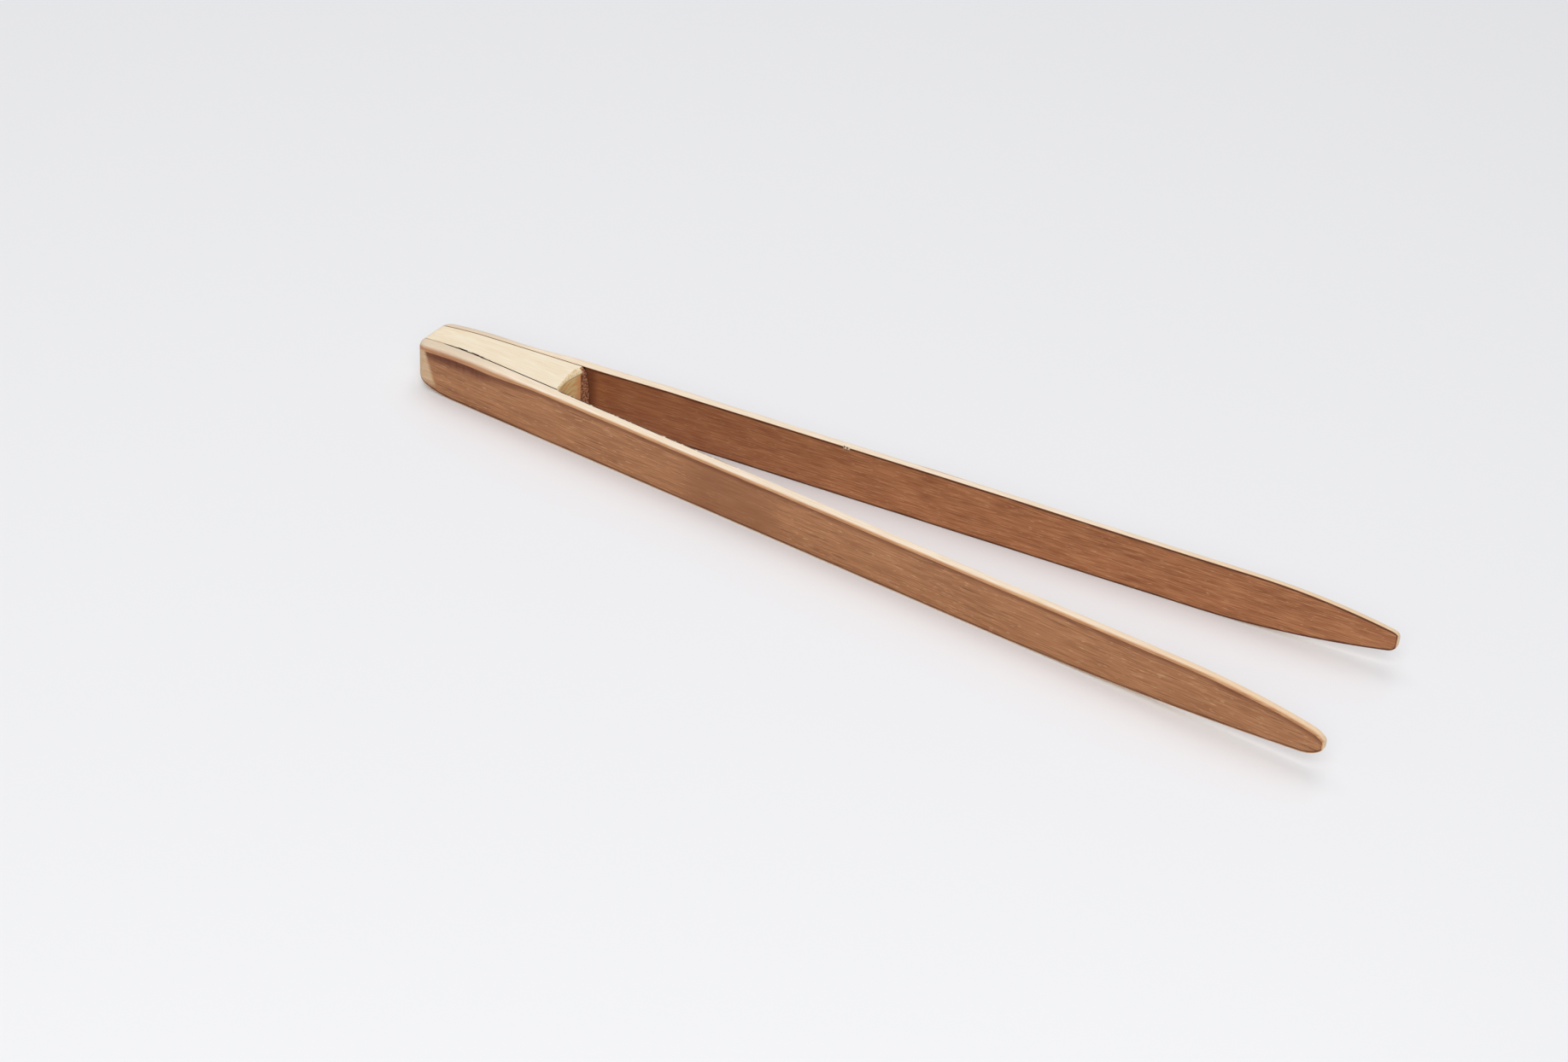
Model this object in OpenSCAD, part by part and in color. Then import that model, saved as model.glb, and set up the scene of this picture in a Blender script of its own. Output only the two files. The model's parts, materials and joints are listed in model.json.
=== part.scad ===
// Wooden print tongs: two springy strips glued to a wedge-shaped spacer block.
// The tongs lie flat. +X runs from the head to the tips, the near leg is on the -Y side,
// and the origin is on the surface that they lie on, at the middle of their length.

/* [Overall] */
// Length from the head end to the tips
tongs_l = 180; // [130:1:240]
// Height of the strips, up from the surface that the tongs lie on
strip_h = 10; // [8:0.1:15]

/* [Legs] */
// Thickness of a leg at the head end
leg_head_t = 2.4; // [1.8:0.1:3.2]
// Thickness of a leg at its tip
leg_tip_t = 1.2; // [0.8:0.1:1.8]
// Clear gap between the two tips at rest
tip_gap = 31; // [16:0.1:45]
// Radius sanded onto the long outer edges
edge_r = 0.8; // [0.3:0.1:0.9]

/* [Head] */
// Gap between the inner faces of the legs at the head end
head_gap = 4.8; // [3.8:0.1:8]
// Radius of the two corners of the head end, seen from above
head_corner_r = 2.6; // [2:0.1:4.8]
// Radius of the head end's lower edge, seen from the side
heel_r = 5.5; // [2:0.1:7]
// Radius of the head end's upper edge, seen from the side
crown_r = 0.8; // [0.3:0.1:1]

/* [Spacer block] */
// Length of the block, from the head end to the middle of its hollowed inner end
block_l = 30; // [20:1:45]
// Radius of the hollow across the block's inner end
scoop_r = 18; // [12:1:40]
// Thickness of each glue line between the block and a leg
glue_t = 0.2; // [0.1:0.05:0.4]

/* [Tips] */
// Length over which the near leg's underside rises to its tip
near_rise_l = 60; // [30:1:70]
// Length over which the far leg's underside rises to its tip
far_rise_l = 35; // [20:1:50]
// Height that each underside has risen at the tip
rise_h = 3.2; // [1:0.1:4]
// Length over which each top edge falls to the tip
fall_l = 25; // [15:1:40]
// Depth that each top edge has fallen at the tip
fall_h = 2.6; // [1:0.1:3]
// Corner radius of the near leg's nose
near_nose_r = 1.6; // [0.4:0.1:2]
// Corner radius of the far leg's nose
far_nose_r = 1; // [0.4:0.1:2]

/* [Flexing] */
// Distance from the block's inner end to the point that a leg bends about
flex_l = 22; // [15:1:30]
// Running gap around the knuckle that stands in for the bending strip
flex_gap = 0.08; // [0.05:0.01:0.1]

/* [Hidden] */

brown_wood = "#9B6E50";
pale_wood = "#F0E2C4";
dark_glue = "#4A4034";

// Facets of a small round, and of a long shallow sweep
round_fn = 96;
sweep_fn = 1440;
// How far a cutter runs past what it cuts
past = 1;
// Extra radius, so that a round crosses the faces that it meets instead of only touching them
bite = 0.01;
// Step from the knuckle to the full thickness of the blade
shoulder = 0.02;

// Sideways change per millimetre of length: of the inner faces, and of the leg's thickness
splay = (tip_gap - head_gap) / 2 / tongs_l;
taper = (leg_tip_t - leg_head_t) / tongs_l;
outer_angle = atan(splay + taper);
middle_angle = atan(splay + taper / 2);

// Centre height of the head's corner rounds, above the tongs' middle line
corner_y = outer_y(head_corner_r) - head_corner_r / cos(outer_angle);

// The point that a leg bends about, and the knuckle there
flex_x = block_l + flex_l;
flex_y = inner_y(flex_x) + leg_t(flex_x) / 2;
knuckle_r = leg_t(flex_x) / 2 * cos(middle_angle) - shoulder;

function inner_y(x) = head_gap / 2 + splay * x;
function leg_t(x) = leg_head_t + taper * x;
function outer_y(x) = inner_y(x) + leg_t(x);

// Radius of a sweep that starts level and has moved by "shift" after "run"
function sweep_r(run, shift) = (run * run + shift * shift) / (2 * shift);

// What a round of radius r takes off a square corner that lies at the origin
module corner_waste(r) {
    difference() {
        translate([-past, -past]) square(r + past);
        translate([r, r]) circle(r = r + bite, $fn = round_fn);
    }
}

// What a long sweep takes off an edge, from its level start at the origin
module sweep_waste(run, shift) {
    difference() {
        translate([0, -past]) square([run + past, shift + 2 * past]);
        translate([0, sweep_r(run, shift)])
            circle(r = sweep_r(run, shift) + bite, $fn = sweep_fn);
    }
}

// What a nose round of radius r takes off where such a sweep ends, with the tip at x = 0
module nose_waste(run, shift, r) {
    big_r = sweep_r(run, shift);
    centre_h = big_r - sqrt(pow(big_r - r, 2) - pow(run - r, 2));
    start = r * (run - r) / (big_r - r) - r;
    difference() {
        translate([start, -past]) square([past - start, centre_h + past]);
        translate([-r, centre_h]) circle(r = r + bite, $fn = round_fn);
    }
}

// Side view of the head end, and of all that is the strips' full height
module strip_side(length) {
    difference() {
        square([length, strip_h]);
        corner_waste(heel_r);
        translate([0, strip_h]) mirror([0, 1]) corner_waste(crown_r);
    }
}

// Side view of a whole leg: the underside rises and the top falls to a rounded nose
module leg_side(rise_l, nose_r) {
    difference() {
        strip_side(tongs_l);
        translate([tongs_l - rise_l, 0]) sweep_waste(rise_l, rise_h);
        translate([tongs_l - fall_l, strip_h]) mirror([0, 1]) sweep_waste(fall_l, fall_h);
        translate([tongs_l, 0]) nose_waste(rise_l, rise_h, nose_r);
        translate([tongs_l, strip_h]) mirror([0, 1]) nose_waste(fall_l, fall_h, nose_r);
    }
}

// Stands a side view up across the whole width of the tongs
module across() {
    translate([0, tip_gap, 0]) rotate([90, 0, 0]) linear_extrude(2 * tip_gap) children();
}

// What the head's corner round takes off, seen from above, on the far side
module head_corner_waste() {
    difference() {
        translate([-past, corner_y])
            square([past + head_corner_r * (1 - sin(outer_angle)), head_corner_r + past]);
        translate([head_corner_r, corner_y]) circle(r = head_corner_r + bite, $fn = round_fn);
    }
}

// Rounds both corners of the head end on a plan view
module round_head() {
    difference() {
        children();
        head_corner_waste();
        mirror([0, 1]) head_corner_waste();
    }
}

// Plan view of the far leg, whole
module leg_plan() {
    round_head()
        polygon([
            [0, inner_y(0)], [tongs_l, inner_y(tongs_l)],
            [tongs_l, outer_y(tongs_l)], [0, outer_y(0)]
        ]);
}

// Half plane on the tip side of the point that the far leg bends about
module tip_half() {
    translate([flex_x, flex_y])
        rotate(middle_angle)
            translate([0, -tip_gap]) square([tongs_l, 2 * tip_gap]);
}

// What the sanded radius takes off the far leg's two long outer edges
module long_edge_waste() {
    for (upper = [0, 1])
        translate([0, outer_y(0), upper * strip_h]) rotate([0, 0, outer_angle])
            rotate([90, 0, 90]) translate([0, 0, -past])
                linear_extrude(tongs_l + 3 * past)
                    mirror([1, 0]) mirror([0, upper]) corner_waste(edge_r);
}

// The stretch of the far leg whose plan view is given, cut to the leg's side view
module leg_stretch(rise_l, nose_r) {
    difference() {
        intersection() {
            linear_extrude(strip_h) children();
            across() leg_side(rise_l, nose_r);
        }
        long_edge_waste();
    }
}

// The leg from the head end to the socket of the knuckle
module leg_root(rise_l, nose_r) {
    leg_stretch(rise_l, nose_r)
        difference() {
            leg_plan();
            tip_half();
            translate([flex_x, flex_y]) circle(r = knuckle_r + flex_gap, $fn = round_fn);
        }
}

// The leg from the knuckle to its tip
module leg_blade(rise_l, nose_r) {
    leg_stretch(rise_l, nose_r)
        union() {
            intersection() {
                leg_plan();
                tip_half();
            }
            translate([flex_x, flex_y]) circle(r = knuckle_r, $fn = round_fn);
        }
}

// Plan view of the wedge between the legs, narrower by "inset" on each side
module wedge_plan(inset) {
    wedge_end = block_l + scoop_r / 4;
    round_head()
        difference() {
            polygon([
                [0, inset - inner_y(0)], [wedge_end, inset - inner_y(wedge_end)],
                [wedge_end, inner_y(wedge_end) - inset], [0, inner_y(0) - inset]
            ]);
            translate([block_l + scoop_r, 0]) circle(r = scoop_r, $fn = 2 * round_fn);
        }
}

// A plan view of the wedge's size, cut to the side view of the head
module head_piece() {
    intersection() {
        linear_extrude(strip_h) children();
        across() strip_side(tongs_l);
    }
}

// The glue line against the far leg
module glue_line() {
    head_piece()
        difference() {
            wedge_plan(0);
            wedge_plan(glue_t);
            translate([-past, -tip_gap]) square([tongs_l, tip_gap]);
        }
}

module place() {
    translate([-tongs_l / 2, 0, 0]) children();
}

module spacer_block() {
    color(pale_wood) place() head_piece() wedge_plan(glue_t);
}

module far_glue_line() {
    color(dark_glue) place() glue_line();
}

module near_glue_line() {
    color(dark_glue) place() mirror([0, 1, 0]) glue_line();
}

module far_leg_root() {
    color(brown_wood) place() leg_root(far_rise_l, far_nose_r);
}

module near_leg_root() {
    color(brown_wood) place() mirror([0, 1, 0]) leg_root(near_rise_l, near_nose_r);
}

module far_leg_blade() {
    color(brown_wood) place() leg_blade(far_rise_l, far_nose_r);
}

module near_leg_blade() {
    color(brown_wood) place() mirror([0, 1, 0]) leg_blade(near_rise_l, near_nose_r);
}

spacer_block();
near_glue_line();
far_glue_line();
near_leg_root();
far_leg_root();
near_leg_blade();
far_leg_blade();
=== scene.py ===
"""The looks of the print tongs: two long brown legs glued to a pale spacer block.

"along" runs from the head end to the tips, "across" from the tongs' middle line out to the leg
that is meant (on the block, to the far leg), and "up" from the surface that the tongs lie on.
Lengths are in metres. In a material they are in millimetres, as in the "grain" attribute.
"""

import json
import math
from types import SimpleNamespace

import bpy
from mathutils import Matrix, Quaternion, Vector, noise


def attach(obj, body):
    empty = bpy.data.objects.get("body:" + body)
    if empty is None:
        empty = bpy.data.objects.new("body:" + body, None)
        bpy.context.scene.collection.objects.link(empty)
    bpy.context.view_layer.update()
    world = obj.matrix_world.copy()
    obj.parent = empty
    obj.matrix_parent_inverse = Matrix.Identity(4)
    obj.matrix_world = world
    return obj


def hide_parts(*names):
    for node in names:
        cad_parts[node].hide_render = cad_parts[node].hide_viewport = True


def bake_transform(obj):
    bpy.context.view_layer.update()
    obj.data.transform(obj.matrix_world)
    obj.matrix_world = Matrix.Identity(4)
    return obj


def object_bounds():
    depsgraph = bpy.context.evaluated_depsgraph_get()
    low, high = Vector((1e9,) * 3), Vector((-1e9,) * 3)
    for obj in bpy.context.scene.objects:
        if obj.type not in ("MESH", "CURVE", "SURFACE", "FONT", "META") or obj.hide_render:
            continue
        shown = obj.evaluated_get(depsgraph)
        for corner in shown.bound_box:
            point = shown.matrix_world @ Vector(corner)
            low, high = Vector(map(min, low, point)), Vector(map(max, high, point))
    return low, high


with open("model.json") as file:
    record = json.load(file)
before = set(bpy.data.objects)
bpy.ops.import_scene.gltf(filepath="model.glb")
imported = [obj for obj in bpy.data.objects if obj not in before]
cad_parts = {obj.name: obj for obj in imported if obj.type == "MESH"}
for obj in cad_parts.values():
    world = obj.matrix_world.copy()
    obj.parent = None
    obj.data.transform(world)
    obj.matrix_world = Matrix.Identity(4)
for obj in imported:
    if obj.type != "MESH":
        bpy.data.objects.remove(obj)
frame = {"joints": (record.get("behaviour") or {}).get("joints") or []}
cad_low, cad_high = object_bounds()

MM = 0.001

# The strips, as the CAD model has them
HEAD_X = cad_low.x
LENGTH = cad_high.x - cad_low.x
HEIGHT = cad_high.z
HEAD_THICKNESS = 2.4 * MM
TIP_THICKNESS = 1.2 * MM
HEAD_HALF_GAP = 2.4 * MM
TIP_HALF_GAP = cad_high.y - TIP_THICKNESS
CORNER_R = 2.6 * MM
TOP_FALL = 25 * MM
TOP_FALL_DEPTH = 2.6 * MM

# The sanded head and edges
HEEL_LENGTH = 9 * MM
HEEL_HEIGHT = 3.4 * MM
UNDER_EDGE = 0.35 * MM
INNER_EDGE = 0.12 * MM
TIP_EDGE = 0.35 * MM

# The spacer block and its glue
SEAM = 0.2 * MM
BLOCK_LENGTH = 30 * MM
SCOOP_R = 18 * MM

# Where the small nick on the far leg's upper inner edge is
NICK_ALONG = 81.2 * MM

# Each leg: how its underside rises to the tip, the rounds of its nose as lengths and heights, and
# how far its top leans out. far_share is 0 on the near leg, 1 on the far leg, and rises from one to
# the other across the block.
NEAR = SimpleNamespace(
    name="near_leg", side=-1, seed=1, far_share=0, rise=60 * MM, rise_height=3.2 * MM,
    chin=(4.0 * MM, 2.3 * MM), brow=(2.6 * MM, 1.3 * MM), lean=0)
FAR = SimpleNamespace(
    name="far_leg", side=1, seed=2, far_share=1, rise=35 * MM, rise_height=3.9 * MM,
    chin=(1.5 * MM, 1.2 * MM), brow=(1.2 * MM, 0.8 * MM), lean=0.4 * MM)


# ---- Shapes that all pieces share

def smooth(value, low, high):
    """Rises smoothly from 0 at low to 1 at high."""
    share = min(max((value - low) / (high - low), 0), 1)
    return share * share * (3 - 2 * share)


def blend(share, start, end):
    return start + (end - start) * share


def wander(along, wave, seed):
    """A smooth random number between -1 and 1 that changes over about one wave."""
    return noise.noise(Vector((along / wave, 7.3 * seed, 1.7)))


def inner(along):
    """Distance from the middle line to a leg's inner face."""
    return blend(along / LENGTH, HEAD_HALF_GAP, TIP_HALF_GAP)


def outer(along):
    """Distance from the middle line to a leg's outer face."""
    return inner(along) + blend(along / LENGTH, HEAD_THICKNESS, TIP_THICKNESS)


OUTER_SLOPE = (outer(LENGTH) - outer(0)) / LENGTH
CORNER_ACROSS = outer(CORNER_R) - CORNER_R * math.hypot(1, OUTER_SLOPE)


def outline(along):
    """Half width of the tongs, seen from above, with the rounded corners of the head."""
    if along >= CORNER_R:
        return outer(along)
    return CORNER_ACROSS + math.sqrt(CORNER_R ** 2 - (CORNER_R - along) ** 2)


def edge_distance(along, across):
    """How far inside the outline a point is, seen from above."""
    if along >= CORNER_R:
        return outer(along) - across
    if across > CORNER_ACROSS:
        return CORNER_R - math.hypot(CORNER_R - along, across - CORNER_ACROSS)
    return min(along, outer(along) - across)


def quarter(distance, width, height):
    """How far an edge rounded over width and height has fallen, at a distance from its side."""
    if distance >= width:
        return 0
    return height * (1 - math.sqrt(1 - (1 - max(distance, 0) / width) ** 2))


def top_round(far_share, along):
    """Width and height of the sanded round on the upper outer edge. It is largest at the head."""
    past_head = smooth(along, 15 * MM, 30 * MM)
    near = (0.9, blend(past_head, 1.1, 0.3))
    far = (blend(past_head, 1.6, 0.7), blend(past_head, 2.4, 0.5))
    worn = 1 + 0.2 * wander(along, 9 * MM, 3 + far_share)
    return [blend(far_share, n, f) * worn * MM for n, f in zip(near, far)]


def head_slope(far_share, along):
    """How far sanding has lowered the top towards the head end."""
    reach = blend(far_share, 14, 11) * MM
    depth = blend(far_share, 1.1, 0.7) * MM
    return depth * max(0, 1 - along / reach) ** 2


def swept(along, run, shift, nose):
    """How far an edge has moved, if it moves by shift over run and ends in a nose round."""
    sweep = shift * max(0, 1 - (LENGTH - along) / run) ** 2
    return sweep + quarter(LENGTH - along, *nose)


def top(far_share, along, across):
    """Height of the tongs' top at a point."""
    width, height = top_round(far_share, along)
    fallen = quarter(edge_distance(along, across), width, height)
    return HEIGHT - head_slope(far_share, along) - fallen


def underside(along, across):
    """Height of the tongs' underside at a point of the head or of a leg's straight stretch."""
    heel = quarter(along, HEEL_LENGTH, HEEL_HEIGHT)
    return heel + quarter(edge_distance(along, across), UNDER_EDGE, UNDER_EDGE)


def spread(low, high, count):
    """Evenly spaced values, both ends included."""
    return [blend(step / (count - 1), low, high) for step in range(count)]


# The shares of a quarter turn at which a small rounded edge gets its points
EDGE_STEPS = spread(0, 1, 6)


def rounded(low, high, count):
    """Values that crowd together at low, for a quarter round that stands upright there."""
    return [low + (high - low) * (1 - math.cos(angle)) for angle in spread(0, math.pi / 2, count)]


def place(along, across, up, side):
    return Vector((HEAD_X + along, side * across, up))


def make_piece(name, places, faces, grain, material, **numbers):
    """A mesh object. grain is each point's place in the wood. numbers are more values by name."""
    mesh = bpy.data.meshes.new(name)
    mesh.from_pydata(places, [], faces)
    attribute = mesh.attributes.new("grain", "FLOAT_VECTOR", "POINT")
    attribute.data.foreach_set("vector", [part for point in grain for part in point])
    for key, values in numbers.items():
        attribute = mesh.attributes.new(key, "FLOAT", "POINT")
        attribute.data.foreach_set("value", values)
    mesh.materials.append(material)
    mesh.validate()
    mesh.shade_smooth()
    mesh.set_sharp_from_angle(angle=math.radians(50))
    piece = bpy.data.objects.new(name, mesh)
    bpy.context.scene.collection.objects.link(piece)
    return piece


def ring_faces(rings, size, turned):
    """Quads between closed rings of points, and a face on each end, turned to face outwards."""
    faces = []
    for ring in range(rings - 1):
        for step in range(size):
            after = (step + 1) % size
            faces.append((ring * size + step, (ring + 1) * size + step,
                          (ring + 1) * size + after, ring * size + after))
    faces.append(tuple(range(size)))
    faces.append(tuple(range((rings - 1) * size, rings * size))[::-1])
    return [face[::-1] for face in faces] if turned else faces


# ---- Legs

def leg_stations():
    """Places along a leg where it gets a ring of points, closest at its ends and at the nick."""
    neck_end = BLOCK_LENGTH + 2 * MM
    tip_start = LENGTH - TOP_FALL
    head = rounded(0, CORNER_R, 12)[1:]
    neck = spread(CORNER_R + 0.3 * MM, neck_end, 60)
    shaft = spread(neck_end + 0.6 * MM, NICK_ALONG - 1.2 * MM, 74)
    shaft += spread(NICK_ALONG - 0.9 * MM, NICK_ALONG + 0.9 * MM, 9)
    shaft += spread(NICK_ALONG + 1.4 * MM, tip_start, 112)
    tip = spread(tip_start + 0.5 * MM, LENGTH - 3 * MM, 40)
    nose = [LENGTH - rest for rest in rounded(0, 2.8 * MM, 26)][::-1]
    return head + neck + shaft + tip + nose


def free(along):
    """0 beside the block, rising to 1 where the leg has left it and its sides waver a little."""
    return smooth(along, 33 * MM, 45 * MM)


def leg_sides(leg, along):
    """Distances from the middle line to the leg's inner and outer side."""
    waver = 0.03 * MM * free(along)
    tip_round = quarter(LENGTH - along, TIP_EDGE, TIP_EDGE)
    low_side = inner(along) + waver * wander(along, 12 * MM, leg.seed) + tip_round * 0.5
    high_side = outline(along) + waver * (wander(along, 11 * MM, leg.seed + 5) - 1) - tip_round
    return low_side, high_side


def lean_out(leg, along):
    """How far the leg's top leans out, which is only over the middle of its length."""
    return leg.lean * smooth(along, 31 * MM, 48 * MM) * (1 - smooth(along, 95 * MM, 150 * MM))


def nick(leg, along):
    """How deep the small nick on the far leg's upper inner edge is."""
    return leg.far_share * 0.3 * MM * smooth(0.7 * MM - abs(along - NICK_ALONG), 0, 0.3 * MM)


def under_points(low_side, high_side, floor):
    """Points under a leg, from its inner side outwards, with both edges rounded."""
    inner_edge = min(INNER_EDGE, 0.2 * (high_side - low_side))
    under_edge = min(UNDER_EDGE, 0.3 * (high_side - low_side))
    points = []
    for step in EDGE_STEPS:
        turn = step * math.pi / 2
        points.append((low_side + inner_edge * (1 - math.cos(turn)),
                       floor(low_side + inner_edge) + inner_edge * (1 - math.sin(turn)), -step))
    for across in spread(low_side + inner_edge, high_side - under_edge, 5)[1:-1]:
        points.append((across, floor(across), -1))
    for step in EDGE_STEPS:
        across = high_side - under_edge * (1 - math.sin(step * math.pi / 2))
        points.append((across, floor(across), step - 1))
    return points


def over_points(low_side, high_side, round_width, roof, nick_depth):
    """Points over a leg, from its outer side inwards, with both edges rounded."""
    inner_edge = min(INNER_EDGE, 0.2 * (high_side - low_side))
    points = []
    for step in spread(0, 1, 9):
        across = high_side - round_width * (1 - math.cos(step * math.pi / 2))
        points.append((across, roof(across), -step))
    for across in spread(high_side - round_width, low_side + inner_edge, 5)[1:-1]:
        points.append((across, roof(across), -1))
    crest = roof(low_side + inner_edge) - nick_depth
    for step in EDGE_STEPS:
        turn = step * math.pi / 2
        points.append((low_side + inner_edge * (1 - math.sin(turn)),
                       crest - inner_edge * (1 - math.cos(turn)), step - 1))
    return points


def face_points(across, start, end):
    """Points on an upright face, closer together near its two edges."""
    tall = abs(end - start)
    shares = [0.02, 0.05, 0.1, 0.2, 0.35, 0.5, 0.65, 0.8, 0.9, 0.95, 0.98]
    return [(across, blend(share, start, end), min(share, 1 - share) * tall / MM)
            for share in shares]


def leg_ring(leg, along):
    """The leg's cross-section, as points across, up, and the skin value that paints them.

    Skin is -1 where the wood is sanded pale, rises to 0 over a rounded edge, and is the distance
    in millimetres from that edge on the brown faces.
    """
    low_side, high_side = leg_sides(leg, along)
    round_width = min(top_round(leg.far_share, along)[0], 0.75 * (high_side - low_side))
    fall = swept(along, TOP_FALL, TOP_FALL_DEPTH, leg.brow)
    fall += 0.05 * MM * free(along) * (1 + wander(along, 16 * MM, leg.seed + 8))
    rise = swept(along, leg.rise, leg.rise_height, leg.chin)

    def roof(across):
        return top(leg.far_share, along, outline(along) - (high_side - across)) - fall

    def floor(across):
        return underside(along, outline(along) - (high_side - across)) + rise

    under = under_points(low_side, high_side, floor)
    over = over_points(low_side, high_side, round_width, roof, nick(leg, along))
    outer_face = face_points(high_side, under[-1][1], over[0][1])
    inner_face = face_points(low_side, over[-1][1], under[0][1])
    ring = under + outer_face + over + inner_face
    tip_skin = (LENGTH - TIP_EDGE - along) / TIP_EDGE
    if tip_skin < 0:
        ring = [(across, up, min(skin, tip_skin)) for across, up, skin in ring]
    return ring


def make_leg(leg, material):
    """One strip in place of the CAD's root and blade.

    The middle number of its grain is the depth below its inner face.
    """
    places, grain, skins = [], [], []
    stations = leg_stations()
    for along in stations:
        ring = leg_ring(leg, along)
        lean = lean_out(leg, along)
        for across, up, skin in ring:
            places.append(place(along, across + lean * up / HEIGHT, up, leg.side))
            grain.append((along / MM, (across - inner(along)) / MM, up / MM))
            skins.append(skin)
    faces = ring_faces(len(stations), len(ring), turned=leg.side > 0)
    piece = make_piece(leg.name, places, faces, grain, material, skin=skins)
    hinge = next(joint for joint in frame["joints"] if joint["child"] == leg.name)
    pivot = Vector(hinge["pos_m"])
    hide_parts(leg.name + "_root", leg.name + "_blade")
    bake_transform(piece)


# ---- Spacer block and glue

def far_corner(across):
    """0 on the block, rising to 1 in its corner against the far leg."""
    return smooth(across, 3.0 * MM, 4.6 * MM)


def block_end(across, up):
    """Where the block's hollowed inner end is. It curls out low down against the far leg."""
    hollow = BLOCK_LENGTH + SCOOP_R - math.sqrt(SCOOP_R ** 2 - across ** 2)
    rough = noise.noise(Vector((across / (1.5 * MM), up / (0.35 * MM), 4)))
    curl_height = 9.4 * MM
    curl = far_corner(across) * 0.85 * MM * (1 - min(up / curl_height, 1) ** 3)
    return hollow + 0.05 * MM * rough * (1 + far_corner(across)) + curl


def block_column(share):
    """A closed slice of the block: points along, across, up, and how far each is a cut end."""
    def across_at(along):
        return share * (inner(along) - SEAM)

    across = across_at(BLOCK_LENGTH)
    far_share = smooth(share, -1, 1)
    bevel = blend(smooth(across, -2.5 * MM, 3.5 * MM), 0.45, 1.05) * MM
    end = block_end(across, 8.5 * MM)
    head = rounded(0, CORNER_R, 12)[:-1]
    body = spread(CORNER_R, end - bevel, 40)
    column = []
    for along in head + body:
        column.append((along, across_at(along), top(far_share, along, abs(across_at(along))), 0))
    crest = column[-1][2]
    for step in (0.2, 0.5, 0.8):
        along = end - bevel * (1 - step)
        up = crest - bevel * (0.3 * step + 0.6 * step ** 2)
        column.append((along, across_at(along), up, 0.5))
    for up in spread(crest - bevel, underside(end, 0), 44):
        along = block_end(across, up)
        column.append((along, across_at(along), up, 1))
    for along in spread(CORNER_R, column[-1][0], 30)[::-1][1:] + head[::-1]:
        column.append((along, across_at(along), underside(along, abs(across_at(along))), 0))
    foot, brow = column[-1][2], column[0][2]
    for up in spread(foot, brow, 10)[1:-1]:
        column.append((0, across_at(0), up, 0))
    return column


def make_block(material):
    places, grain, cuts = [], [], []
    columns = 56
    for share in spread(-1, 1, columns):
        column = block_column(share)
        for along, across, up, cut in column:
            places.append(place(along, across, up, 1))
            grain.append((along / MM, across / MM, up / MM))
            cuts.append(cut)
    faces = ring_faces(columns, len(column), turned=True)
    piece = make_piece("spacer_block_wood", places, faces, grain, material, cut=cuts)
    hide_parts("spacer_block")
    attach(piece, "head")


def make_glue(leg, material):
    """The thin, uneven sheet of glue between the block and a leg."""
    places, grain = [], []
    stations = rounded(0, CORNER_R, 8)[1:] + spread(3 * MM, BLOCK_LENGTH + 0.3 * MM, 110)
    for along in stations:
        sides = (inner(along) - SEAM, inner(along))
        sunk = MM * (0.05 + 0.04 * wander(along, 0.9 * MM, leg.seed + 11))
        for across, up in (
            (sides[0], underside(along, sides[0]) + sunk),
            (sides[1], underside(along, sides[1]) + sunk),
            (sides[1], top(leg.far_share, along, sides[1]) - sunk),
            (sides[0], top(leg.far_share, along, sides[0]) - sunk),
        ):
            places.append(place(along, across, up, leg.side))
            grain.append((along / MM, across / MM, up / MM))
    faces = ring_faces(len(stations), 4, turned=leg.side > 0)
    side = leg.name.split("_")[0]
    piece = make_piece(side + "_glue", places, faces, grain, material)
    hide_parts(side + "_glue_line")
    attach(piece, "head")


# ---- Materials

# Where the marks of this one pair are, and the patch of painted shade on the near leg, in
# millimetres along from the head end
SMEAR = (6.0, 13.0)
SEAM_STAIN = (7.5, 14.0)
PAINTED_SHADE_PATCH = (64.0, 74.0)
TORN_FIBRES = (80.6, 81.7)
BROWN_SLIVER = (96.0, 101.0)


def linear(red, green, blue):
    """The shader colour for a screen colour of 0 to 255."""
    shares = [level / 255 for level in (red, green, blue)]
    parts = [share / 12.92 if share < 0.04 else ((share + 0.055) / 1.055) ** 2.4
             for share in shares]
    return (*parts, 1)


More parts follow.
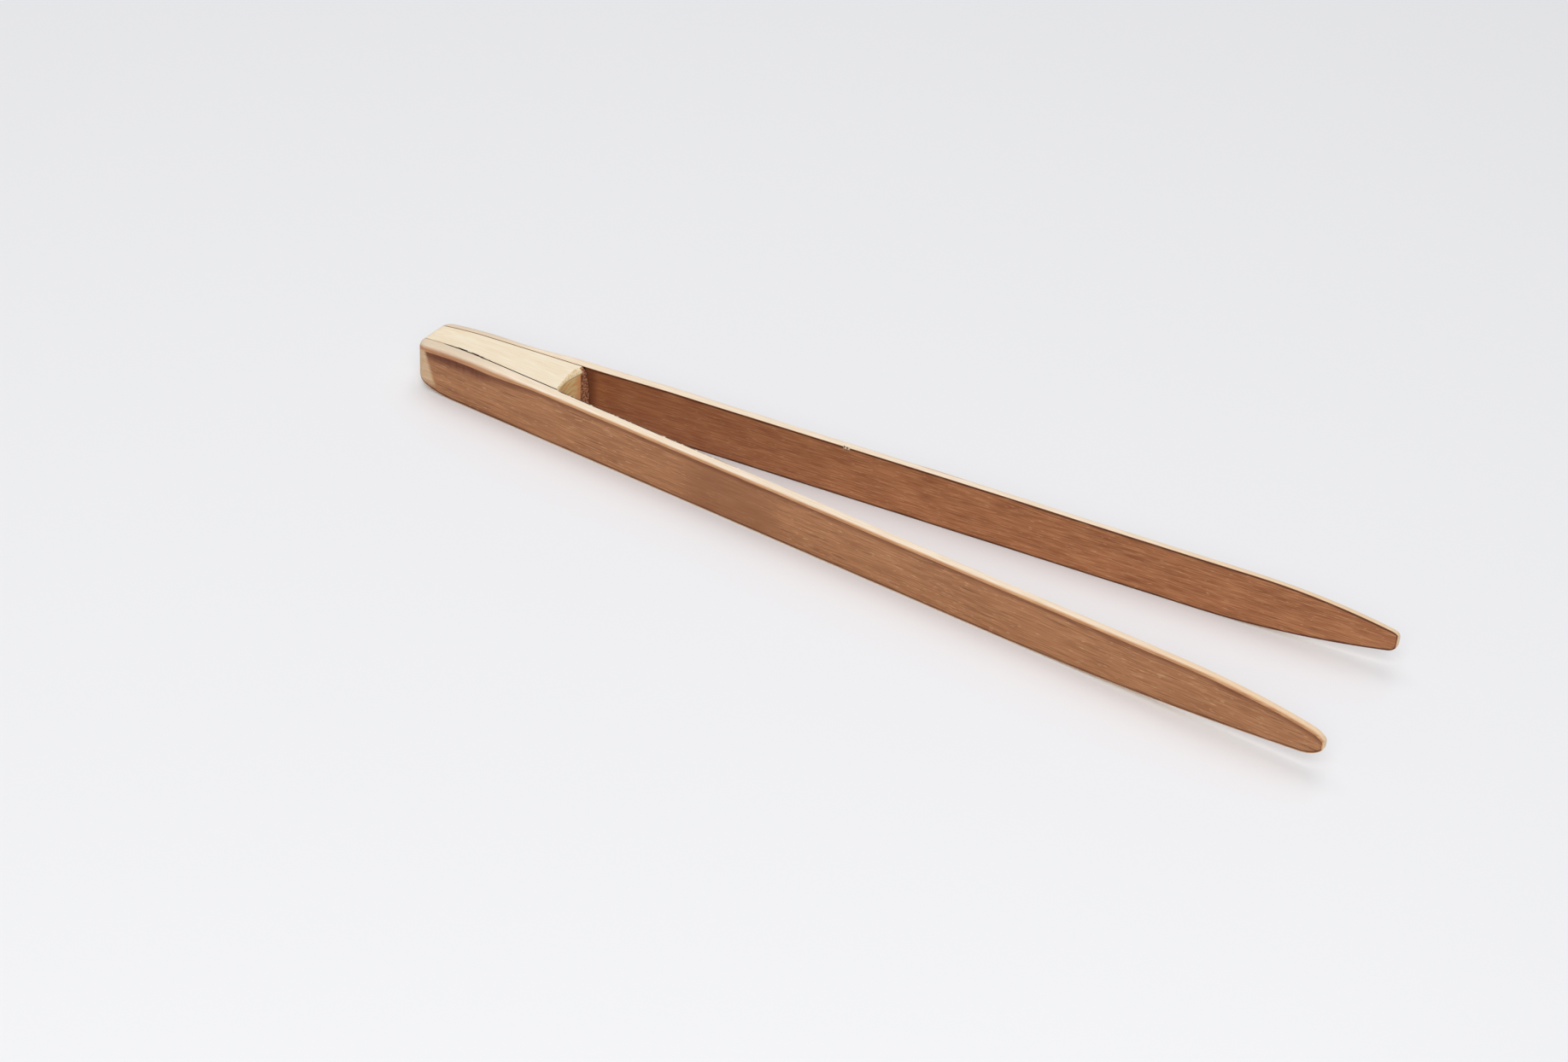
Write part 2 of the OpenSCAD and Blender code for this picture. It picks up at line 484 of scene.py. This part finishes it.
class Paint:
    """A short way to write a material's nodes."""

    def __init__(self, name):
        self.material = bpy.data.materials.new(name)
        self.material.use_nodes = True
        self.nodes = self.material.node_tree.nodes
        self.shader = self.nodes["Principled BSDF"]
        self.shader.inputs["Specular IOR Level"].default_value = 0.3

    def set(self, socket, value):
        if isinstance(value, bpy.types.NodeSocket):
            self.material.node_tree.links.new(value, socket)
        else:
            socket.default_value = value

    def attribute(self, name, output="Fac"):
        node = self.nodes.new("ShaderNodeAttribute")
        node.attribute_name = name
        return node.outputs[output]

    def calculate(self, operation, first, *others):
        """Works through the values in turn, as in first * second * third."""
        for other in others:
            node = self.nodes.new("ShaderNodeMath")
            node.operation = operation
            self.set(node.inputs[0], first)
            self.set(node.inputs[1], other)
            first = node.outputs[0]
        return first

    def times(self, *values):
        return self.calculate("MULTIPLY", *values)

    def plus(self, *values):
        return self.calculate("ADD", *values)

    def minus(self, *values):
        return self.calculate("SUBTRACT", *values)

    def parts(self, vector):
        """The three numbers of a vector."""
        node = self.nodes.new("ShaderNodeSeparateXYZ")
        self.set(node.inputs[0], vector)
        return list(node.outputs)

    def grain_noise(self, vector, per_mm, detail, offset=(0, 0, 0)):
        """Noise with so many features per millimetre along each axis."""
        node = self.nodes.new("ShaderNodeVectorMath")
        node.operation = "MULTIPLY_ADD"
        self.set(node.inputs[0], vector)
        node.inputs[1].default_value = per_mm
        node.inputs[2].default_value = offset
        pattern = self.nodes.new("ShaderNodeTexNoise")
        self.set(pattern.inputs["Vector"], node.outputs[0])
        pattern.inputs["Scale"].default_value = 1
        pattern.inputs["Detail"].default_value = detail
        return pattern.outputs["Fac"]

    def rise(self, value, low, high):
        """From 0 where value is low to 1 where it is high."""
        node = self.nodes.new("ShaderNodeMapRange")
        node.interpolation_type = "SMOOTHSTEP"
        self.set(node.inputs["Value"], value)
        self.set(node.inputs["From Min"], low)
        self.set(node.inputs["From Max"], high)
        return node.outputs["Result"]

    def falls(self, value, low, high):
        """From 1 where value is low to 0 where it is high."""
        return self.minus(1.0, self.rise(value, low, high))

    def band(self, value, low, high, soft):
        """1 between low and high, and fades out over soft on both sides."""
        return self.times(self.rise(value, low - soft, low), self.falls(value, high, high + soft))

    def mix(self, share, start, end):
        """From start where share is 0 to end where it is 1."""
        node = self.nodes.new("ShaderNodeMix")
        node.data_type = "RGBA"
        # The node's inputs for a number and two colours
        self.set(node.inputs[0], share)
        self.set(node.inputs[6], start)
        self.set(node.inputs[7], end)
        return node.outputs[2]

    def fade(self, value, low, high, start, end):
        """From start where value is low to end where it is high."""
        return self.mix(self.rise(value, low, high), start, end)

    def finish(self, colour, roughness, height, depth):
        """Fills in the shader. Its bumps follow height, and are depth metres deep."""
        self.set(self.shader.inputs["Base Color"], colour)
        self.set(self.shader.inputs["Roughness"], roughness)
        bump = self.nodes.new("ShaderNodeBump")
        bump.inputs["Distance"].default_value = depth
        self.set(bump.inputs["Height"], height)
        self.set(self.shader.inputs["Normal"], bump.outputs["Normal"])
        return self.material


# ---- Leg material

def grain_shift(leg):
    """Moves the grain's pattern, so that the legs differ."""
    return (40 * leg.seed, 3 * leg.seed, 0)


def leg_material(leg):
    """Brown heat-treated faces over pale wood, which shows wherever an edge is sanded."""
    paint = Paint(leg.name + "_wood")
    grain = paint.attribute("grain", "Vector")
    along, depth, up = paint.parts(grain)
    fibres = paint.grain_noise(grain, (0.22, 5, 5), 3, grain_shift(leg))
    inside = paint.falls(depth, 0.3, 0.8)
    ragged = paint.times(paint.minus(fibres, 0.5), 0.4)
    skin = paint.plus(paint.attribute("skin"), ragged)
    face = brown_face(paint, leg, grain, along, inside, fibres)
    if leg is NEAR:
        face = smeared(paint, grain, along, up, face)
    colour = sanded_edges(paint, leg, along, up, skin, face, inside, fibres)
    if leg is NEAR:
        colour = seam_stain(paint, grain, along, depth, colour)
        colour = dark_edge_line(paint, grain, along, depth, up, colour)
    else:
        colour = edge_stain(paint, along, depth, up, colour)
        colour = torn_nick(paint, grain, along, depth, up, colour)
    colour = sanded_end(paint, along, up, skin, fibres, colour)
    roughness = paint.plus(paint.times(fibres, 0.25), 0.42)
    return paint.finish(colour, roughness, fibres, 0.03 * MM)


def brown_face(paint, leg, grain, along, inside, fibres):
    """The heat-treated brown of a leg's inner and outer faces, with painted shade on parts of both
    legs.
    """
    shift = grain_shift(leg)
    streaks = paint.rise(paint.grain_noise(grain, (0.13, 2.4, 2.4), 3, shift), 0.36, 0.64)
    clouds = paint.rise(paint.grain_noise(grain, (0.09, 0.35, 0.35), 2, shift), 0.4, 0.66)
    bright = paint.rise(fibres, 0.42, 0.68)
    flecks = paint.rise(paint.grain_noise(grain, (0.6, 4, 4), 1, shift), 0.65, 0.72)
    dashes = paint.rise(paint.grain_noise(grain, (0.16, 3.6, 3.6), 1, (7, 5, 3)), 0.65, 0.74)
    face = paint.mix(inside, linear(180, 123, 82), linear(180, 118, 76))
    dark = paint.mix(inside, linear(150, 96, 60), linear(138, 78, 46))
    light = paint.mix(inside, linear(206, 152, 108), linear(214, 156, 108))
    for pattern, amount, colour in (
        (streaks, 0.5, dark),
        (clouds, 0.45, dark),
        (bright, 0.5, light),
        (flecks, 0.38, linear(232, 186, 140)),
        (dashes, 0.5, linear(96, 56, 34)),
    ):
        face = paint.mix(paint.times(pattern, amount), face, colour)
    if leg is NEAR:
        # A patch of painted shade on the near leg, darkest from 64 to 74 mm along
        return paint.mix(paint.times(paint.band(along, *PAINTED_SHADE_PATCH, 9.0), 0.6), face, dark)
    # Painted shade over the far leg, darkest towards the head end and gone by 95 mm along
    face = paint.mix(paint.times(paint.falls(along, 45.0, 95.0), 0.3), face, dark)
    # Painted shade on the far leg's inner face, in its corner against the block
    corner = paint.times(inside, paint.falls(along, 31.4, 33.4), 0.6)
    return paint.mix(corner, face, linear(84, 38, 24))


def sanded_edges(paint, leg, along, up, skin, face, inside, fibres):
    """Puts the pale sanded wood over the face's edges, with a burnished line and tan below it."""
    broad = paint.times(paint.minus(1.0, inside), paint.rise(up, 4.8, 5.6))
    head = paint.falls(along, 10.0, 34.0)
    face = burnished(paint, broad, head, skin, face, inside)
    skin = paint.plus(skin, paint.times(inside, 0.25))
    tan = paint.fade(fibres, 0.35, 0.65, linear(190, 134, 92), linear(222, 172, 124))
    if leg is NEAR:
        tan = paint.mix(paint.times(head, 0.4), tan, linear(172, 112, 80))
    tan_width = paint.times(broad, paint.minus(0.32, paint.times(head, 0.14)))
    face = paint.fade(skin, paint.minus(tan_width, 0.15), tan_width, tan, face)
    return paint.fade(skin, -0.7, -0.2, pale_wood(paint, along, fibres), face)


def burnished(paint, broad, head, skin, face, inside):
    """A dark line just below an edge. It is broad on the upper outer edge, most at the head."""
    shade = paint.mix(broad, linear(74, 34, 18), linear(104, 50, 26))
    reach = paint.times(broad, paint.plus(head, 1.1))
    line = paint.falls(skin, 0.15, paint.plus(reach, 0.38))
    strong = paint.plus(paint.times(head, 0.15), 0.65, paint.times(inside, 0.2))
    return paint.mix(paint.times(line, strong), face, shade)


def pale_wood(paint, along, fibres):
    """Sanded wood, which is a little darker at the head end and browner towards the tips."""
    cream = paint.fade(fibres, 0.3, 0.7, linear(253, 236, 214), linear(242, 219, 190))
    head = paint.times(paint.falls(along, 10.0, 22.0), 0.6)
    cream = paint.mix(head, cream, linear(222, 200, 172))
    tip = paint.times(paint.rise(along, 120.0, 170.0), 0.65)
    return paint.mix(tip, cream, linear(236, 200, 156))


def sanded_end(paint, along, up, skin, fibres, colour):
    """The head end, and the slanting patch beside it where the brown is sanded thin."""
    slant = paint.plus(along, paint.times(up, 0.35))
    patch = paint.times(paint.falls(slant, 4.7, 5.7), paint.rise(skin, -0.2, 0.25))
    patch = paint.calculate("MAXIMUM", patch, paint.falls(along, 0.3, 0.9))
    patch = paint.times(patch, paint.rise(up, 1.0, 2.6))
    tan = paint.fade(fibres, 0.3, 0.7, linear(208, 170, 130), linear(224, 192, 154))
    return paint.mix(patch, colour, tan)


# ---- Marks of this one pair

def smeared(paint, grain, along, up, face):
    """A dark, softly streaked smear under the top edge of the near leg's outer face."""
    streaks = paint.rise(paint.grain_noise(grain, (2.4, 0.25, 0.25), 3), 0.3, 0.7)
    strong = paint.plus(paint.times(streaks, 0.35), 0.5)
    here = paint.times(paint.band(along, *SMEAR, 6.0), paint.rise(up, 5.8, 8.4), strong)
    return paint.mix(here, face, linear(108, 52, 30))


def seam_stain(paint, grain, along, from_seam, colour):
    """Glue that darkened the wood beside the near seam."""
    dashes = paint.rise(paint.grain_noise(grain, (0.9, 0.5, 0.5), 3), 0.4, 0.56)
    beside = paint.falls(from_seam, 0.0, 0.28)
    here = paint.times(paint.band(along, *SEAM_STAIN, 2.0), beside, dashes)
    return paint.mix(here, colour, linear(60, 42, 34))


def dark_edge_line(paint, grain, along, depth, up, colour):
    """A broken dark line along the near leg's upper inner edge, where it leaves the block."""
    dashes = paint.rise(paint.grain_noise(grain, (0.7, 0.5, 0.5), 2), 0.3, 0.5)
    stretch = paint.times(paint.rise(along, 30.4, 31.4), paint.falls(along, 50.0, 80.0))
    here = paint.times(stretch, paint.falls(depth, 0.2, 0.42), paint.rise(up, 9.3, 9.6), dashes)
    return paint.mix(here, colour, linear(70, 32, 18))


def edge_stain(paint, along, depth, up, colour):
    """A sliver of brown left on the far leg's upper outer edge."""
    edge = paint.rise(up, 9.2, 9.5)
    sliver = paint.band(along, *BROWN_SLIVER, 3.0)
    here = paint.times(sliver, paint.rise(depth, 1.0, 1.4), edge, 0.75)
    return paint.mix(here, colour, linear(196, 128, 84))


def torn_nick(paint, grain, along, depth, up, colour):
    """The torn fibres in the tiny nick on the far leg's upper inner edge."""
    edge = paint.rise(up, 9.3, 9.6)
    here = paint.times(paint.band(along, *TORN_FIBRES, 0.2), edge, paint.falls(depth, 0.2, 0.35))
    fibres = paint.grain_noise(grain, (3, 1, 1), 1)
    torn = paint.fade(fibres, 0.45, 0.55, linear(66, 30, 16), linear(206, 178, 150))
    return paint.mix(here, colour, torn)


# ---- Block and glue materials

def block_material():
    """Pale wood with a smooth top, and a rough inner end."""
    paint = Paint("spacer_block_wood")
    grain = paint.attribute("grain", "Vector")
    cut = paint.attribute("cut")
    along, across = paint.parts(grain)[:2]
    fibres = paint.grain_noise(grain, (0.25, 4, 4), 3)
    mottle = paint.grain_noise(grain, (2, 3.5, 3.5), 3)
    long_grain = block_face(paint, grain, along, across, fibres)
    end_grain = block_inner_end(paint, grain, across, cut, mottle)
    colour = paint.fade(cut, 0.1, 0.35, long_grain, end_grain)
    height = paint.mix(cut, fibres, mottle)
    roughness = paint.plus(paint.times(fibres, 0.2), 0.5)
    return paint.finish(colour, roughness, height, 0.05 * MM)


def block_face(paint, grain, along, across, fibres):
    """The block's smooth pale wood, with the glue's stain beside the near seam."""
    clouds = paint.grain_noise(grain, (0.08, 0.5, 0.5), 2)
    cream = paint.fade(fibres, 0.3, 0.7, linear(252, 240, 216), linear(244, 225, 194))
    clouds = paint.times(paint.rise(clouds, 0.4, 0.7), 0.4)
    cream = paint.mix(clouds, cream, linear(238, 214, 176))
    # The near seam starts 2.2 mm from the middle line, and leaves it by 0.073 mm a millimetre
    from_seam = paint.plus(paint.times(along, 0.073), across, 2.2)
    return seam_stain(paint, grain, along, from_seam, cream)


def block_inner_end(paint, grain, across, cut, mottle):
    """The block's bevel, its golden end grain, and the rough strip by the far leg, whose dark
    red-brown is partly the end grain's own colour and partly painted shade and a painted reflection
    of the far leg.
    """
    streaks = paint.grain_noise(grain, (0.8, 0.35, 2.6), 3)
    specks = paint.grain_noise(grain, (4, 4, 4), 1)
    gold = paint.fade(streaks, 0.35, 0.65, linear(250, 192, 122), linear(255, 238, 176))
    gold = paint.fade(across, 1.0, 3.4, gold, linear(244, 178, 118))
    bevel = paint.fade(mottle, 0.35, 0.65, linear(224, 192, 142), linear(250, 232, 194))
    below_bevel = paint.times(paint.band(cut, 0.8, 0.9, 0.1), 0.7)
    wood = paint.fade(cut, 0.78, 0.9, bevel, gold)
    wood = paint.mix(below_bevel, wood, linear(168, 120, 72))
    # The rough strip: the end grain's own brown, darkened with painted shade and reddened with a
    # painted reflection of the far leg
    rough = paint.fade(mottle, 0.38, 0.62, linear(104, 56, 34), linear(188, 132, 96))
    rough = paint.fade(specks, 0.66, 0.74, rough, linear(216, 184, 160))
    rough_edge = paint.plus(across, paint.times(mottle, 0.5), paint.times(cut, 1.2))
    return paint.fade(rough_edge, 4.5, 4.75, wood, rough)


def glue_material(leg):
    """Dark glue, broken up by lighter dashes and faint at the head end."""
    paint = Paint(leg.name + "_glue")
    grain = paint.attribute("grain", "Vector")
    along = paint.parts(grain)[0]
    dashes = paint.grain_noise(grain, (0.5, 2, 2), 3, (9 * leg.seed, 0, 0))
    dash = linear(110, 86, 62) if leg is NEAR else linear(56, 42, 32)
    colour = paint.fade(dashes, 0.6, 0.75, linear(26, 18, 13), dash)
    faint_end = blend(leg.far_share, 4.5, 0.8)
    colour = paint.fade(along, faint_end, faint_end + 1.5, linear(196, 176, 146), colour)
    paint.shader.inputs["Specular IOR Level"].default_value = 0.1
    return paint.finish(colour, 0.85, dashes, 0.04 * MM)


# ---- Stage, light and camera

def make_floor():
    mesh = bpy.data.meshes.new("floor")
    half = 3.0
    mesh.from_pydata([(-half, -half, 0), (half, -half, 0), (half, half, 0), (-half, half, 0)], [],
                     [(0, 1, 2, 3)])
    floor = bpy.data.objects.new("floor", mesh)
    bpy.context.scene.collection.objects.link(floor)
    paint = Paint("floor")
    paint.shader.inputs["Base Color"].default_value = (0.92, 0.92, 0.93, 1)
    paint.shader.inputs["Roughness"].default_value = 0.25
    mesh.materials.append(paint.material)


def make_light(name, location, size, power):
    light = bpy.data.lights.new(name, "AREA")
    light.size = size
    light.energy = power
    lamp = bpy.data.objects.new(name, light)
    lamp.location = location
    lamp.rotation_mode = "QUATERNION"
    lamp.rotation_quaternion = (-Vector(location)).to_track_quat("-Z", "Y")
    bpy.context.scene.collection.objects.link(lamp)


def make_world():
    world = bpy.data.worlds.new("studio")
    world.use_nodes = True
    background = world.node_tree.nodes["Background"]
    background.inputs["Color"].default_value = (0.95, 0.96, 1.0, 1)
    background.inputs["Strength"].default_value = 0.34
    bpy.context.scene.world = world


def make_camera():
    """The camera at the photograph's angle, aimed at a point on the floor between the legs."""
    aim = Vector((-11.8, -6.6, 0)) * MM
    distance = 519.7 * MM
    azimuth, elevation, tilt = (math.radians(angle) for angle in (27.8, 34.8, 3.95))
    back = Vector((math.sin(azimuth) * math.cos(elevation),
                   -math.cos(azimuth) * math.cos(elevation), math.sin(elevation)))
    lens = bpy.data.cameras.new("camera")
    lens.lens = 70
    lens.sensor_width = 36
    camera = bpy.data.objects.new("camera", lens)
    camera.location = aim + back * distance
    camera.rotation_mode = "QUATERNION"
    camera.rotation_quaternion = (
        (-back).to_track_quat("-Z", "Y") @ Quaternion((0, 0, 1), tilt))
    lens.clip_start = 0.01
    bpy.context.scene.collection.objects.link(camera)
    bpy.context.scene.camera = camera


make_camera()
for leg in (NEAR, FAR):
    make_leg(leg, leg_material(leg))
    make_glue(leg, glue_material(leg))
make_block(block_material())
make_floor()
make_world()
make_light("key", (-0.2, 0.25, 1.2), 1.2, 7.2)
make_light("fill", (0.35, -0.8, 0.9), 0.9, 7.2)
bpy.context.scene.view_settings.view_transform = "Standard"
